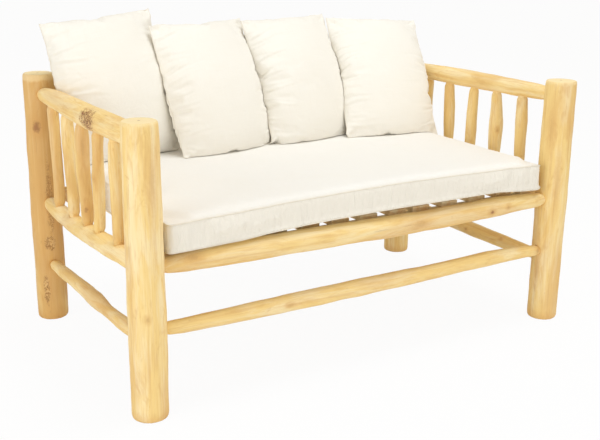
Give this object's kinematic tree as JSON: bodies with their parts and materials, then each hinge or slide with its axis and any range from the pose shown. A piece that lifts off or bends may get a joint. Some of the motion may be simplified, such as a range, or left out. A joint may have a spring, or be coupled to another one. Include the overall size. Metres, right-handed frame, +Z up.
{
  "type": "patio loveseat",
  "caption": "Rustic patio loveseat of peeled bent poles on thick posts, spindle sides and back, slatted seat, box seat cushion and loose back cushions.",
  "frame": {"origin": "on the floor, midway between the four posts", "axes": "+X to the right as seen from the front, along the seat's length; +Y to the back; +Z up"},
  "size_m": [1.3055, 0.7929, 0.8421],
  "materials": {
    "peeled_teak": "matte, peeled and sanded",
    "slat_wood": "matte, sawn boards",
    "screw_steel": "zinc plated",
    "cotton_cover": "woven cotton, matte"
  },
  "bodies": {
    "frame": {"front_left_post": "peeled_teak", "front_right_post": "peeled_teak", "rear_left_post": "peeled_teak", "rear_right_post": "peeled_teak", "front_seat_rail": "peeled_teak", "rear_seat_rail": "peeled_teak", "back_rail": "peeled_teak", "left_seat_rail": "peeled_teak", "right_seat_rail": "peeled_teak", "left_arm_rail": "peeled_teak", "right_arm_rail": "peeled_teak", "front_stretcher": "peeled_teak", "left_stretcher": "peeled_teak", "right_stretcher": "peeled_teak", "left_spindle_1": "peeled_teak", "left_spindle_2": "peeled_teak", "left_spindle_3": "peeled_teak", "left_spindle_4": "peeled_teak", "left_spindle_5": "peeled_teak", "right_spindle_1": "peeled_teak", "right_spindle_2": "peeled_teak", "right_spindle_3": "peeled_teak", "right_spindle_4": "peeled_teak", "right_spindle_5": "peeled_teak", "back_spindle_1": "peeled_teak", "back_spindle_2": "peeled_teak", "back_spindle_3": "peeled_teak", "back_spindle_4": "peeled_teak", "back_spindle_5": "peeled_teak", "back_spindle_6": "peeled_teak", "back_spindle_7": "peeled_teak", "back_spindle_8": "peeled_teak", "front_slat_ledger": "slat_wood", "rear_slat_ledger": "slat_wood", "seat_slat_1": "slat_wood", "seat_slat_2": "slat_wood", "seat_slat_3": "slat_wood", "seat_slat_4": "slat_wood", "seat_slat_5": "slat_wood", "seat_slat_6": "slat_wood", "seat_slat_7": "slat_wood", "seat_slat_8": "slat_wood", "seat_slat_9": "slat_wood", "seat_slat_10": "slat_wood", "seat_slat_11": "slat_wood", "seat_slat_12": "slat_wood", "seat_slat_13": "slat_wood", "ledger_screws": "screw_steel"},
    "seat_cushion": {"seat_cushion": "cotton_cover"},
    "back_cushion_1": {"back_cushion_1": "cotton_cover"},
    "back_cushion_2": {"back_cushion_2": "cotton_cover"},
    "back_cushion_3": {"back_cushion_3": "cotton_cover"},
    "back_cushion_4": {"back_cushion_4": "cotton_cover"}
  },
  "joints": [
    {"name": "seat_cushion_lift", "type": "slide", "parent": "frame", "child": "seat_cushion", "axis": [0, 0, 1], "range_m": [0, 0.32]},
    {"name": "back_cushion_1_lift", "type": "slide", "parent": "seat_cushion", "child": "back_cushion_1", "axis": [-0.089, 0.276, 0.957], "range_m": [0, 0.42]},
    {"name": "back_cushion_2_lift", "type": "slide", "parent": "seat_cushion", "child": "back_cushion_2", "axis": [-0.05, 0.3548, 0.9336], "range_m": [0, 0.42]},
    {"name": "back_cushion_3_lift", "type": "slide", "parent": "seat_cushion", "child": "back_cushion_3", "axis": [-0.052, 0.336, 0.9404], "range_m": [0, 0.42]},
    {"name": "back_cushion_4_lift", "type": "slide", "parent": "seat_cushion", "child": "back_cushion_4", "axis": [0, 0, 1], "range_m": [0, 0.42]}
  ]
}
